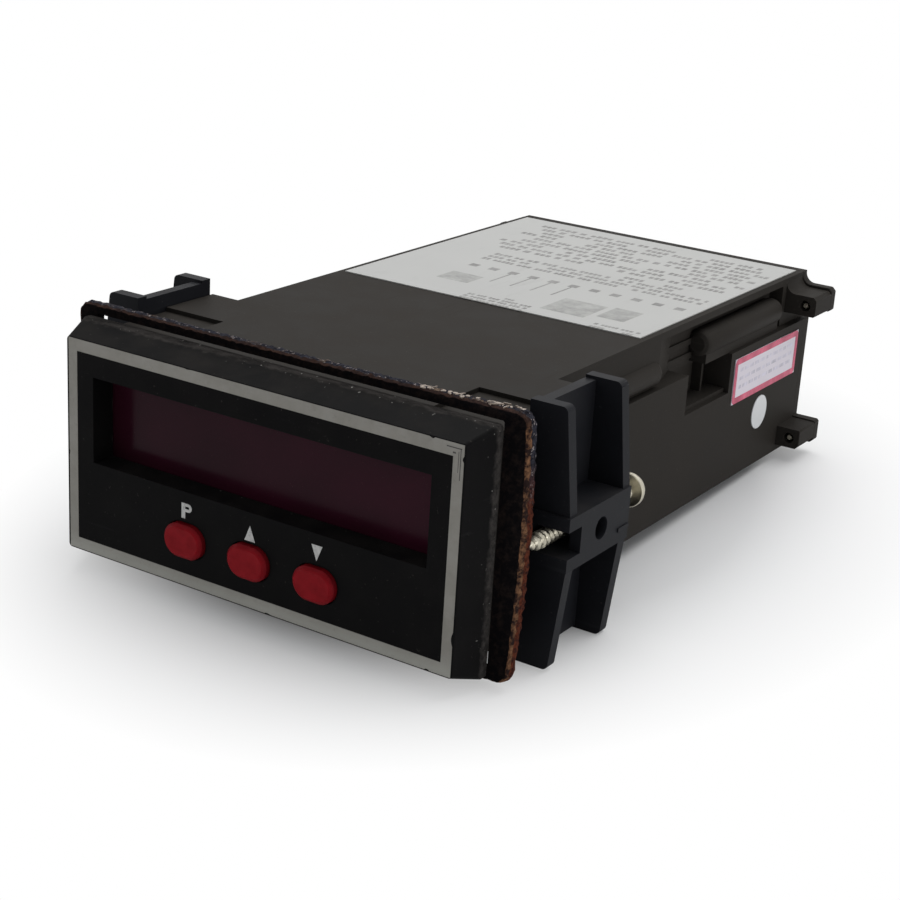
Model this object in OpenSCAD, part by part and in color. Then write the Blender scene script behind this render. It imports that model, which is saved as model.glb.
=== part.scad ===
// Digital panel meter for a standard panel cut-out, held by two screw clips on its sides.
// The origin is the middle of the panel seat, which is the rear face of the bezel.
// The front looks along -Y, the case runs back along +Y, and +Z is up.

/* [Bezel] */
// Width of the bezel at the panel
bezel_w = 96; // [95.5:0.5:104]
// Height of the bezel at the panel
bezel_h = 48; // [47.5:0.5:56]
// Depth of the bezel in front of the panel
bezel_d = 8; // [7.5:0.5:11]
// How far each side of the bezel tapers in towards the front
bezel_taper = 2.1; // [1:0.1:2.6]
// Radius of the bezel's upright corners
bezel_r = 0.8; // [0.4:0.1:2]
// Thickness of the bezel's front wall
front_wall = 2.4; // [2:0.1:3]
// How far the case plugs into the back of the bezel
plug_d = 2.6; // [2:0.1:3]
// Length of the straight land behind the bezel's taper
land_d = 1.2; // [0.6:0.1:2]

/* [Window] */
// Width of the window recess
window_w = 78.4; // [70:0.2:80]
// Height of the window recess
window_h = 17.4; // [15:0.2:18]
// Height of the window's middle above the bezel's middle
window_z = 6.1; // [5.5:0.1:6.5]
// Depth of the window recess
window_recess = 5.7; // [5:0.1:6]
// Thickness of the red window
window_t = 1.6; // [1:0.1:1.9]

/* [Buttons] */
// Width of a button cap
button_w = 9.4; // [8:0.1:11]
// Height of a button cap
button_h = 6.8; // [5:0.1:7.4]
// Distance between neighbouring buttons
button_pitch = 15.5; // [14:0.1:20]
// Height of the buttons' middles above the bezel's middle
button_z = -12.4; // [-13:0.1:-12]
// How far the caps stand out of the front
button_proud = 1.5; // [1.2:0.1:2.5]
// Travel of a button
button_travel = 1; // [0.6:0.1:1.2]
// Gap round a button cap
button_gap = 0.25; // [0.15:0.05:0.4]

/* [Gasket] */
// Thickness of the panel gasket
gasket_t = 2; // [1:0.1:2.4]
// Rim width of the gasket at its sides
gasket_side = 5.4; // [4:0.1:6]
// Rim width of the gasket at its top and bottom
gasket_rim = 2.6; // [2:0.1:4]
// How far the gasket has slipped up and to the right
gasket_slip = 1.2; // [0:0.1:1.6]

/* [Case] */
// Distance from the panel seat to the rear face
case_d = 152; // [146:1:190]
// Half width of the case's wide front section
collar_x = 45.5; // [44.5:0.1:45.7]
// Depth of the wide front section behind the panel
collar_d = 34.5; // [32:0.5:40]
// Height of the case
case_h = 44; // [43.6:0.1:44.4]
// Half width of the case's top plate
top_x = 38.7; // [38:0.1:39.4]
// Wall thickness of the case
case_wall = 2.2; // [1.8:0.1:2.6]
// How far the side plates and rails stand out from the case
plate_t = 1.8; // [1.2:0.1:2]
// Height of the side plates' upper edge above the middle
plate_z = 10.8; // [10.5:0.1:12]
// Radius of the front rails on the case's shoulders
front_rail_r = 2.6; // [2.2:0.1:2.8]
// Radius of the rear rails on the case's shoulders
rear_rail_r = 3; // [2.4:0.1:3]

/* [Clips] */
// Distance from the panel seat to the front of a clip
clip_y = 12; // [10:0.5:14]
// Length of a clip
clip_l = 22.2; // [20:0.2:26]
// Height of a clip from fin end to fin end
clip_h = 50.6; // [48:0.2:56]
// Wall thickness of a clip
clip_wall = 2.3; // [1.8:0.1:2.6]
// Thickness of a clip's fins
fin_t = 2.6; // [2:0.1:3]
// Reach of the fins from the clip's wall at their ends
fin_tip = 5.4; // [4.5:0.1:6.5]
// Reach of the fins and the beam from the clip's wall at mid height
beam_reach = 7.9; // [7.6:0.1:8.5]
// Outside height of the beam
beam_h = 10.4; // [9.6:0.2:12]
// Inside height of the beam's channel
channel_h = 5.2; // [5:0.1:5.8]
// Diameter of the sight hole in the beam
sight_d = 4.4; // [3:0.1:5]

/* [Clip screws] */
// Diameter of a clip screw
screw_d = 3.5; // [3:0.1:4]
// Length of a clip screw under its head
screw_l = 38; // [34:0.5:38]
// Diameter of a clip screw's head
head_d = 7; // [6:0.1:8]
// Height of a clip screw's head
head_h = 2.6; // [2:0.1:3]
// Distance from the rear fin to the head
screw_out = 9.7; // [6:0.1:11]

/* [Inside] */
// Thickness of the circuit boards
board_t = 1.6; // [1.2:0.1:2]
// Distance from the panel seat to the display board
display_y = 8; // [7.5:0.1:9]
// Number of display digits
digits = 6; // [4:1:6]
// Poles of each terminal block
poles = 12; // [6:1:13]
// Spacing of the poles
pole_pitch = 5.08; // [4.5:0.01:5.2]

/* [Hidden] */
$fn = 48;
eps = 0.01;

// Colours
black = [0.07, 0.07, 0.075];
matt_black = [0.1, 0.1, 0.105];
dark_red = [0.25, 0.02, 0.05];
crimson = [0.75, 0.05, 0.12];
zinc = [0.75, 0.75, 0.72];
board_green = [0.1, 0.35, 0.18];
chip_black = [0.05, 0.05, 0.05];
paper = [0.78, 0.8, 0.82];

// Bezel
rim_w = bezel_w - 2 * bezel_taper;
rim_h = bezel_h - 2 * bezel_taper;
fit_gap = 0.1;
plug_w = 2 * collar_x + 2 * fit_gap;
plug_h = case_h + 2 * fit_gap;
hollow_lip = 1.2;
gasket_gap = 0.2;
gasket_r = 2.5;
recess_wall = 1.4;
pane_lip = 1;
pane_w = window_w + 2 * pane_lip;
pane_h = window_h + 2 * pane_lip;
pane_y = window_recess - bezel_d;
button_edge = 0.7;
button_flange = 1.2;
button_flange_t = 1.2;
flange_y = front_wall - bezel_d + 0.2;
stem_d = 4.4;

// Display
board_gap = 0.3;
digit_w = 12.6;
digit_h = 19;
digit_y = pane_y + window_t + board_gap;
display_h = 38;
display_w = 86;
post_d = 2.6;
post_low_z = -16.6;
post_x = pane_w / 2 + post_d / 2 + 0.2;
switch_size = 6;
plunger_d = 3.5;
plunger_l = 1;
plunger_y = display_y - 4.3;
stem_end = plunger_y - button_travel - board_gap;

// Case
case_z = case_h / 2;
plate_x = top_x + plate_t;
cavity_x = top_x - 2.7;
cavity_z = case_z - case_wall;
front_cavity_x = collar_x - case_wall;
front_cavity_y = display_y + board_t + 4;
edge_r = 2;
notch_x = 30.4;
notch_y = 20;
notch_t = 0.9;
front_rail_z = 13.8;
rear_rail_z = 15.1;
cover_t = 2.5;
cover_y = case_d - cover_t;
front_rail_end = 76;
rear_rail_y = 97;
rear_rail_end = case_d - 15.5;
pocket_y = 88;
pocket_l = 21.5;
pocket_z = 2.7;
pocket_floor = plate_x - 6.5;
pocket_roof = plate_z - 0.6;
hollow_floor = plate_x - 5;
hollow_end = cover_y - 11;
hollow_wall = 1.1;
pocket_step = 1.2;
pocket_rib_y = pocket_y + 15.3;
rib_t = 0.8;
ramp_l = 11;
hollow_top = case_z - 1.6;
ear_l = 9;
ear_out = 5.9;
ear_low = 13.9;
ear_high = 18.6;
ear_edge = 0.8;
cover_lip = 0.6;
ear_fillet = 2.4;
ear_screw_x = plate_x + 3.2;
ear_screw_z = (ear_low + ear_high) / 2;
cover_screw_d = 2.5;
cover_screw_l = ear_l + cover_t - 0.6;
cover_head_d = 4.4;
cover_head_h = 1.5;

// Tee slots in the wide front section, and the clips' tees
running = 0.25;
slot_y = front_cavity_y + 3;
slot_neck = 3.2;
slot_head = 5.2;
slot_floor = collar_x - 4.5;
slot_lip = 2;
wall_gap = 0.5;
wall_x = collar_x + wall_gap;
fin_x = wall_x + clip_wall;
screw_x = fin_x + 2.1;
clip_end = clip_y + clip_l;
tee_y = slot_y + 0.5;
channel_wall = 2.3;
channel_open = 4;
flange_out = 0.6;
fin_corner = 1.2;
thread_gap = 0.05;
screw_head_y = clip_end + screw_out;
screw_tip = 4.2;
screw_point = 0.8;

// Boards
guide_t = 1.4;
guide_reach = 2;
guide_slot = board_t + 0.2;
lower_board_x = cavity_x - 0.2;
upper_board_x = hollow_floor - hollow_wall - 0.2;
board_y = front_cavity_y + 2;
board_end = cover_y - 4;
upper_z = 13;
lower_z = -16.6;
guide_y = front_cavity_y;
guide_l = cover_y - 3 - guide_y;
chip_t = 3.6;
header_w = 50;
header_h = 5;
lower_top = lower_z + board_t;
upper_top = upper_z + board_t;

// Parts on the boards
processor_w = 14;
processor_l = 52;
memory_l = 36;
driver_w = 6.6;
driver_l = 20;
chip_row_y = board_y + 24.4;
driver_row_y = board_y + 84.4;
leg_pitch = 2.54;
leg_w = 0.6;
leg_out = 0.4;
core_w = 32;
core_l = 27;
core_h = 20;
core_x = -16;
core_y = board_y + 76.4;
core_window = 12;
core_middle = 7.5;
window_half = 3.4;
core_leg = 5;
coil_gap = 0.2;
cap_d = 12.5;
cap_l = 20;
cap_x = 20;
cap_y = board_y + 80.4;
sink_l = 24;
sink_h = 24;
sink_t = 2;
fin_l = 9.6;
fin_pitch = 5;
sink_fin_t = 1.2;
reg_w = 10;
reg_t = 4.4;
reg_h = 18;
reg_x = 15;
reg_y = board_y + 44.4;
relay_w = 12;
relay_l = 29;
relay_h = 15.5;
relay_x = -30;
relay_y = board_y + 34.4;

// Terminal blocks
block_w = poles * pole_pitch + 1.5;
block_h = 9.5;
block_d = 16;
block_out = 2.5;
block_end = case_d + block_out;
block_y = block_end - block_d;
upper_block_z = upper_z - block_h;
lower_block_z = lower_top;
wire_w = 3;
terminal_screw_d = 3;

// Labels
label_t = 0.2;
top_label_y = 70;
top_label_edge = 1.5;
side_label_l = 34.5;
side_label_y = cover_y - 3.4 - side_label_l;
side_label_h = 10.6;
side_label_z = 3.6;
sticker_d = 8;
sticker_y = cover_y - 21.5;
sticker_z = -7.2;

// A box given by the low and high limits of each axis
module span(x, y, z) {
    translate([x[0], y[0], z[0]])
        cube([x[1] - x[0], y[1] - y[0], z[1] - z[0]]);
}

// A cylinder that runs back along Y from the given point
module rod(d, l, at) {
    translate(at)
        rotate([-90, 0, 0])
            cylinder(d = d, h = l);
}

// A flat outline in X and Z, given thickness along +Y
module plate(y, t) {
    translate([0, y + t, 0])
        rotate([90, 0, 0])
            linear_extrude(height = t)
                children();
}

// A copy on each side of the meter
module both_sides() {
    children();
    mirror([1, 0, 0])
        children();
}

// A copy at the top and the bottom
module top_and_bottom() {
    children();
    mirror([0, 0, 1])
        children();
}

// A rectangle with round ends, w wide and h high
module stadium(w, h) {
    square([w - h, h], center = true);
    for (side = [-1, 1])
        translate([side * (w - h) / 2, 0])
            circle(d = h);
}

// A rectangle with round corners, centred
module round_rect(w, h, r) {
    square([w - 2 * r, h], center = true);
    square([w, h - 2 * r], center = true);
    for (x = [-1, 1], z = [-1, 1])
        translate([x * (w / 2 - r), z * (h / 2 - r)])
            circle(r = r);
}

// ---- Front ----

module bezel_shell() {
    hull() {
        plate(-bezel_d, eps)
            round_rect(rim_w, rim_h, bezel_r);
        plate(-land_d, eps)
            round_rect(bezel_w, bezel_h, bezel_r);
    }
    plate(-land_d, land_d)
        round_rect(bezel_w, bezel_h, bezel_r);
}

module bezel_hollow() {
    difference() {
        plate(front_wall - bezel_d, bezel_d)
            square([plug_w - 2 * hollow_lip, plug_h - 2 * hollow_lip], center = true);
        plate(-bezel_d, window_recess)
            translate([0, window_z])
                square([window_w + 2 * recess_wall, window_h + 2 * recess_wall], center = true);
        both_sides()
            for (z = [window_z, post_low_z])
                rod(post_d, bezel_d + display_y, [post_x, -bezel_d, z]);
    }
}

module bezel() {
    color(black) {
        difference() {
            bezel_shell();
            bezel_hollow();
            plate(-plug_d, plug_d + eps)
                square([plug_w, plug_h], center = true);
            plate(-bezel_d - eps, window_recess + 2 * eps)
                translate([0, window_z])
                    square([window_w, window_h], center = true);
            for (side = [-1, 0, 1])
                plate(-bezel_d - eps, front_wall + 2 * eps)
                    translate([side * button_pitch, button_z])
                        stadium(button_w + 2 * button_gap, button_h + 2 * button_gap);
        }
        // Posts that carry the display board
        both_sides()
            for (z = [window_z, post_low_z])
                rod(post_d, display_y + plug_d, [post_x, -plug_d, z]);
    }
}

module window() {
    color(dark_red)
        plate(pane_y, window_t)
            translate([0, window_z])
                square([pane_w, pane_h], center = true);
}

module button(x) {
    cap_y = -bezel_d - button_proud;
    color(crimson)
        translate([x, 0, button_z]) {
            hull() {
                plate(cap_y, eps)
                    stadium(button_w - 2 * button_edge, button_h - 2 * button_edge);
                plate(cap_y + button_edge, eps)
                    stadium(button_w, button_h);
            }
            plate(cap_y + button_edge, flange_y - cap_y - button_edge)
                stadium(button_w, button_h);
            plate(flange_y, button_flange_t)
                stadium(button_w + 2 * button_flange, button_h + 2 * button_flange);
            rod(stem_d, stem_end - flange_y, [0, flange_y, 0]);
        }
}

module button_p() {
    button(-button_pitch);
}

module button_up() {
    button(0);
}

module button_down() {
    button(button_pitch);
}

module gasket() {
    hole_w = 2 * (collar_x + gasket_slip + gasket_gap);
    hole_h = 2 * (case_z + gasket_slip + gasket_gap);
    color([0.16, 0.09, 0.06])
        translate([gasket_slip, 0, gasket_slip])
            plate(0, gasket_t)
                difference() {
                    round_rect(hole_w + 2 * gasket_side, hole_h + 2 * gasket_rim, gasket_r);
                    square([hole_w, hole_h], center = true);
                }
}

// ---- Case ----

// The section of the long body, on the +X side of the middle
module body_outline() {
    polygon([
        [0, case_z],
        [top_x, case_z],
        [top_x, plate_z],
        [plate_x, plate_z],
        [plate_x, edge_r - case_z],
        [plate_x - edge_r, -case_z],
        [0, -case_z]
    ]);
}

// One rounded rail on the shoulder, with a blunt nose at each end
module rail(r, z, y, end) {
    l = end - y;
    nose = r / 2;
    translate([plate_x - r, y, z])
        rotate([-90, 0, 0])
            rotate_extrude()
                polygon([
                    [0, 0],
                    [r - nose * 0.8, 0],
                    [r - nose * 0.25, nose * 0.3],
                    [r, nose],
                    [r, l - nose],
                    [r - nose * 0.25, l - nose * 0.3],
                    [r - nose * 0.8, l],
                    [0, l]
                ]);
}

// The pocket in a side plate with its rib and stepped sill, and the hollow above it
module side_pocket() {
    out = plate_x + 1;
    end = pocket_y + pocket_l;
    difference() {
        union() {
            span([pocket_floor, out], [pocket_y, end], [pocket_z, pocket_roof]);
            span([hollow_floor, out], [pocket_y, end], [pocket_z, plate_z + 1]);
        }
        span([0, hollow_floor + rib_t], [pocket_rib_y, pocket_rib_y + rib_t], [0, plate_z]);
    }
    span([plate_x - pocket_step, out], [pocket_y, end], [pocket_z - 1, pocket_z + 1]);
    translate([0, 0, plate_z])
        linear_extrude(height = hollow_top - plate_z)
            polygon([
                [out, pocket_y - ramp_l],
                [top_x, pocket_y - ramp_l],
                [hollow_floor, pocket_y],
                [hollow_floor, hollow_end],
                [out, hollow_end]
            ]);
}

// The walls that close the pocket and the hollow towards the inside of the case
module inner_walls() {
    t = hollow_wall;
    span([pocket_floor - t, plate_x], [pocket_y - t, pocket_y + pocket_l + t],
        [pocket_z - t, pocket_roof + t]);
    span([hollow_floor - t, plate_x], [pocket_y - ramp_l, hollow_end + t], [plate_z - t, case_z]);
}

// The rear rail, and the web that carries it on the side plate
module rear_rail() {
    rail(rear_rail_r, rear_rail_z, rear_rail_y, rear_rail_end);
    span([hollow_floor - eps, plate_x - 1], [rear_rail_y + 1, rear_rail_end - 1],
        [plate_z - eps, rear_rail_z]);
}

// A tee slot for a clip, open at its rear end
module tee_slot() {
    l = collar_d + 1 - slot_y;
    span([slot_floor, collar_x - slot_lip], [slot_y, slot_y + l], [-slot_head, slot_head]);
    span([slot_floor, collar_x + 1], [slot_y, slot_y + l], [-slot_neck, slot_neck]);
}

// The ear at a rear corner that takes a cover screw
module ear(y, l, low, high) {
    end = plate_x + ear_out;
    plate(y, l) {
        polygon([
            [top_x - 1, low],
            [end - ear_edge / 2, low],
            [end, low + ear_edge / 2],
            [end, high - ear_edge],
            [end - ear_edge, high],
            [top_x - 1, high]
        ]);
        // The fillet between the ear and the side wall
        difference() {
            translate([top_x - 1, high - 1])
                square([ear_fillet + 1, ear_fillet + 1]);
            translate([top_x + ear_fillet, high + ear_fillet])
                circle(r = ear_fillet);
        }
    }
}

// A pair of ribs inside a side wall that hold the edge of a board
module board_guide(z, reach) {
    for (base = [z - guide_t, z + guide_slot])
        span([cavity_x - reach, cavity_x + eps], [guide_y, guide_y + guide_l],
            [base, base + guide_t]);
}

module case_shell() {
    plate(-plug_d, collar_d + plug_d)
        square([2 * collar_x, case_h], center = true);
    both_sides() {
        plate(collar_d - eps, cover_y - collar_d + eps)
            body_outline();
        rail(front_rail_r, front_rail_z, collar_d - 2, front_rail_end);
        top_and_bottom()
            ear(cover_y - ear_l, ear_l, ear_low, ear_high);
    }
}

module case() {
    color(matt_black) {
        difference() {
            case_shell();
            plate(-plug_d - eps, front_cavity_y + plug_d + eps)
                square([2 * front_cavity_x, 2 * cavity_z], center = true);
            difference() {
                plate(0, cover_y + eps)
                    square([2 * cavity_x, 2 * cavity_z], center = true);
                both_sides()
                    inner_walls();
            }
            both_sides() {
                tee_slot();
                side_pocket();
                top_and_bottom() {
                    span([notch_x, collar_x + 1], [gasket_t, notch_y],
                        [case_z - notch_t, case_z + 1]);
                    rod(cover_screw_d + 2 * thread_gap, ear_l + 2 * eps,
                        [ear_screw_x, cover_y - ear_l - eps, ear_screw_z]);
                }
            }
        }
        both_sides() {
            rear_rail();
            board_guide(upper_z, cavity_x - upper_board_x + guide_reach);
            board_guide(lower_z, guide_reach);
        }
    }
}

module rear_cover() {
    lip = 0.2;
    color(matt_black)
        difference() {
            union() {
                both_sides() {
                    plate(cover_y, cover_t)
                        body_outline();
                    top_and_bottom()
                        ear(cover_y, cover_t, ear_low - cover_lip / 2, ear_high + cover_lip);
                }
                // The spigot that goes into the case
                plate(cover_y - 2, 2 + eps)
                    square([2 * (cavity_x - lip), 2 * (cavity_z - lip)], center = true);
            }
            plate(cover_y - 2 - eps, 2)
                square([2 * (cavity_x - lip - 1.6), 2 * (cavity_z - lip - 1.6)], center = true);
            for (z = [upper_block_z, lower_block_z])
                plate(cover_y - 1, cover_t + 2)
                    translate([0, z + block_h / 2])
                        square([block_w + 0.4, block_h + 0.4], center = true);
            both_sides()
                top_and_bottom()
                    translate([ear_screw_x, case_d, ear_screw_z])
                        countersink();
        }
}

// The hole for a countersunk screw, its wide end at the origin
module countersink() {
    wide = cover_head_d + 2 * thread_gap;
    narrow = cover_screw_d + 2 * thread_gap;
    rod(narrow, cover_t + 2, [0, -cover_t - 1, 0]);
    translate([0, eps, 0])
        rotate([90, 0, 0])
            cylinder(d1 = wide, d2 = narrow, h = cover_head_h + 2 * thread_gap);
}

// A countersunk screw with a cross recess, its tip towards -Y and its head's face at the origin
module flat_screw(d, l, head, height, tip, tip_d) {
    difference() {
        rotate([90, 0, 0])
            rotate_extrude()
                polygon([
                    [0, 0],
                    [head / 2, 0],
                    [d / 2, height],
                    [d / 2, l - tip],
                    [tip_d / 2, l],
                    [0, l]
                ]);
        cross_recess(head, height * 0.6);
    }
}

// The cut of a cross recess in a head whose top is at the origin
module cross_recess(head, depth) {
    for (turn = [0, 90])
        rotate([0, turn, 0])
            translate([-head * 0.29, -depth, -head * 0.06])
                cube([head * 0.58, depth + 1, head * 0.12]);
}

// A pan head screw with a cross recess, its tip towards -Y and its head's seat at the origin
module pan_screw(d, l, head, height, tip, tip_d) {
    rod(d, l - tip, [0, tip - l, 0]);
    translate([0, tip - l, 0])
        rotate([90, 0, 0])
            cylinder(d1 = d, d2 = tip_d, h = tip);
    difference() {
        rotate([-90, 0, 0])
            rotate_extrude()
                intersection() {
                    square([head / 2, height]);
                    translate([0, height - head * 0.75])
                        circle(r = head * 0.75, $fn = 96);
                }
        translate([0, height, 0])
            cross_recess(head, height * 0.6);
    }
}

module cover_screws() {
    color(zinc)
        both_sides()
            top_and_bottom()
                translate([ear_screw_x, case_d, ear_screw_z])
                    flat_screw(cover_screw_d, cover_screw_l, cover_head_d, cover_head_h, 1.5, 1.1);
}

// ---- Clips and their screws ----

// The outline of a fin: its outer edge leans out from each end to the beam
module fin_outline() {
    tip_x = fin_x + fin_tip - fin_corner;
    hull() {
        translate([wall_x, -clip_h / 2])
            square([1, clip_h]);
        for (side = [-1, 1]) {
            translate([tip_x, side * (clip_h / 2 - fin_corner)])
                circle(r = fin_corner, $fn = 32);
            translate([fin_x + beam_reach - 0.4, side * beam_h / 2])
                circle(r = eps, $fn = 8);
        }
    }
}

module clip() {
    wall_drop = 0.6;
    out = fin_x + beam_reach;
    color(matt_black)
        difference() {
            union() {
                for (y = [clip_y, clip_end - fin_t])
                    plate(y, fin_t)
                        fin_outline();
                span([wall_x, fin_x], [clip_y, clip_end],
                    [wall_drop - clip_h / 2, clip_h / 2 - wall_drop]);
                span([wall_x, out], [clip_y - flange_out, clip_end], [-beam_h / 2, beam_h / 2]);
                // The tee that runs in the case's slot
                span([slot_floor + running, collar_x - slot_lip - running], [tee_y, collar_d - 1],
                    [running - slot_head, slot_head - running]);
                span([slot_floor + running, wall_x + eps], [tee_y, collar_d - 1],
                    [running - slot_neck, slot_neck - running]);
                // Raised mark on the beam
                span([out - eps, out + 0.25], [clip_end - 4.2, clip_end - 0.2], [-2.9, -2.1]);
            }
            // The channel, closed by the rear fin, and its open mouth
            span([fin_x, out - channel_wall], [clip_y - 1, clip_end - fin_t],
                [-channel_h / 2, channel_h / 2]);
            span([fin_x, out + 1], [clip_y - 1, clip_y + channel_open],
                [-channel_h / 2, channel_h / 2]);
            rod(screw_d + 2 * thread_gap, fin_t + 2, [screw_x, clip_end - fin_t - 1, 0]);
            translate([out - channel_wall - 1, clip_y + 11.5, 0])
                rotate([0, 90, 0])
                    cylinder(d = sight_d, h = channel_wall + 2);
        }
}

module clip_right() {
    clip();
}

module clip_left() {
    mirror([1, 0, 0])
        clip();
}

module clip_screw() {
    color(zinc)
        translate([screw_x, screw_head_y, 0])
            pan_screw(screw_d, screw_l, head_d, head_h, screw_tip, screw_point);
}

module clip_screw_right() {
    clip_screw();
}

module clip_screw_left() {
    mirror([1, 0, 0])
        clip_screw();
}

// ---- Display ----

module display_board() {
    color(board_green)
        span([-display_w / 2, display_w / 2], [display_y, display_y + board_t],
            [-display_h / 2, display_h / 2]);
}

// One seven segment figure, as shallow bars on a digit's face
module figure_eight(y) {
    bar = 1.3;
    reach = 6.6;
    for (z = [-1, 0, 1])
        span([-bar - 1.5, bar + 1.5], [y, y + 0.4], [z * reach - bar / 2, z * reach + bar / 2]);
    for (x = [-1, 1], z = [-1, 1])
        span([x * 3.8 - bar / 2, x * 3.8 + bar / 2], [y, y + 0.4],
            [z * reach / 2 - 2.3, z * reach / 2 + 2.3]);
}

module led_digits() {
    color(dark_red)
        for (i = [0:digits - 1])
            translate([(i - (digits - 1) / 2) * (digit_w + 0.02), 0, window_z])
                difference() {
                    span([-digit_w / 2, digit_w / 2], [digit_y, display_y],
                        [-digit_h / 2, digit_h / 2]);
                    figure_eight(digit_y - 0.2);
                }
}

module tact_switches() {
    color(chip_black)
        for (side = [-1, 0, 1])
            translate([side * button_pitch, 0, button_z]) {
                span([-switch_size / 2, switch_size / 2], [plunger_y + plunger_l, display_y],
                    [-switch_size / 2, switch_size / 2]);
                rod(plunger_d, plunger_l + eps, [0, plunger_y, 0]);
            }
}

// ---- Boards and the parts on them ----

module board(x, z) {
    color(board_green)
        span([-x, x], [board_y, board_end], [z, z + board_t]);
}

module upper_board() {
    board(upper_board_x, upper_z);
}

module lower_board() {
    board(lower_board_x, lower_z);
}

// The headers that join each board to the display board
module board_headers() {
    y = display_y + board_t;
    color(chip_black)
        for (z = [upper_top, lower_top])
            span([-header_w / 2, header_w / 2], [y, board_y + 6], [z, z + header_h]);
}

// A chip on the upper board, w wide and l long, with a row of legs on each side
module chip(x, y, w, l) {
    side = w / 2 + leg_out;
    color(chip_black) {
        span([x - w / 2, x + w / 2], [y, y + l], [upper_top + 0.5, upper_top + chip_t]);
        for (i = [0:floor(l / leg_pitch) - 1])
            translate([x, y + 1 + i * leg_pitch, upper_top])
                span([-side, side], [0, leg_w], [0, chip_t / 2]);
    }
}

module processor() {
    chip(-processor_w, chip_row_y, processor_w, processor_l);
}

module memory_chip() {
    chip(processor_w, chip_row_y, processor_w, memory_l);
}

module driver_chips() {
    for (i = [-1:1])
        chip(i * driver_l * 0.8, driver_row_y, driver_w, driver_l);
}

module transformer_core() {
    x0 = core_x - core_w / 2;
    x1 = core_x + core_w / 2;
    color([0.35, 0.35, 0.37])
        difference() {
            span([x0, x1], [core_y, core_y + core_l - core_window], [lower_top, lower_top + core_h]);
            for (side = [-1, 1])
                translate([core_x + side * core_middle, 0, lower_top])
                    span([-window_half, window_half], [core_y - 1, core_y + core_l],
                        [core_leg, core_h - core_leg]);
        }
}

module transformer_bobbin() {
    y0 = core_y - 6;
    y1 = core_y + core_l - 6;
    low = lower_top + core_leg + coil_gap;
    high = lower_top + core_h - core_leg - coil_gap;
    outside = core_middle + window_half - coil_gap;
    inside = core_middle - window_half + coil_gap;
    color([0.75, 0.6, 0.25])
        difference() {
            span([core_x - outside, core_x + outside], [y0, y1], [low, high]);
            span([core_x - inside, core_x + inside], [y0 + 6 - coil_gap, y1 - 6 + coil_gap],
                [low - 1, high + 1]);
        }
}

module filter_capacitors() {
    color([0.12, 0.16, 0.3])
        for (i = [0, 1])
            translate([cap_x, cap_y + i * (cap_d + 1), lower_top])
                cylinder(d = cap_d, h = cap_l);
}

module regulator() {
    color(chip_black)
        span([reg_x, reg_x + reg_w], [reg_y, reg_y + reg_t], [lower_top, lower_top + reg_h]);
}

module heat_sink() {
    color([0.6, 0.62, 0.65])
        translate([reg_x + (reg_w - sink_l) / 2, reg_y + reg_t, lower_top]) {
            cube([sink_l, sink_t, sink_h]);
            for (i = [0:floor((sink_l - 2) / fin_pitch)])
                translate([1 + i * fin_pitch, 0, 0])
                    cube([sink_fin_t, sink_t + fin_l, sink_h]);
        }
}

module relay() {
    color([0.1, 0.25, 0.5])
        translate([relay_x, relay_y, lower_top])
            cube([relay_w, relay_l, relay_h]);
}

// ---- Terminal blocks ----

module terminal_block(z) {
    color([0.12, 0.35, 0.2])
        difference() {
            span([-block_w / 2, block_w / 2], [block_y, block_end], [z, z + block_h]);
            for (i = [0:poles - 1])
                translate([(i - (poles - 1) / 2) * pole_pitch, 0, z]) {
                    span([-wire_w / 2, wire_w / 2], [block_end - 8, block_end + 1], [1, 1 + wire_w]);
                    rod(terminal_screw_d + 0.2, 8, [0, block_end - 3, 6.8]);
                }
        }
}

module terminal_block_upper() {
    terminal_block(upper_block_z);
}

module terminal_block_lower() {
    terminal_block(lower_block_z);
}

module terminal_screws() {
    color(zinc)
        for (z = [upper_block_z, lower_block_z], i = [0:poles - 1])
            translate([(i - (poles - 1) / 2) * pole_pitch, block_end - 3, z + 6.8])
                difference() {
                    rod(terminal_screw_d, 2.2, [0, 0, 0]);
                    span([-2, 2], [1.5, 3], [-0.3, 0.3]);
                }
}

// ---- Labels ----

module top_label() {
    x = top_x - top_label_edge;
    color(paper)
        span([-x, x], [top_label_y, cover_y - 1], [case_z, case_z + label_t]);
}

module side_label() {
    color([0.8, 0.2, 0.3])
        span([plate_x, plate_x + label_t], [side_label_y, side_label_y + side_label_l],
            [side_label_z - side_label_h / 2, side_label_z + side_label_h / 2]);
}

module round_sticker() {
    color([0.9, 0.9, 0.9])
        translate([plate_x, sticker_y, sticker_z])
            rotate([0, 90, 0])
                cylinder(d = sticker_d, h = label_t);
}

bezel();
window();
button_p();
button_up();
button_down();
gasket();
case();
rear_cover();
cover_screws();
clip_left();
clip_right();
clip_screw_left();
clip_screw_right();
display_board();
led_digits();
tact_switches();
board_headers();
upper_board();
lower_board();
processor();
memory_chip();
driver_chips();
transformer_core();
transformer_bobbin();
filter_capacitors();
regulator();
heat_sink();
relay();
terminal_block_upper();
terminal_block_lower();
terminal_screws();
top_label();
side_label();
round_sticker();
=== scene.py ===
"""The looks of the digital panel meter: materials, print, threads, the worn gasket, light and camera."""

import math
import random

import bmesh
import bpy
from mathutils import Euler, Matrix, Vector, noise


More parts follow.
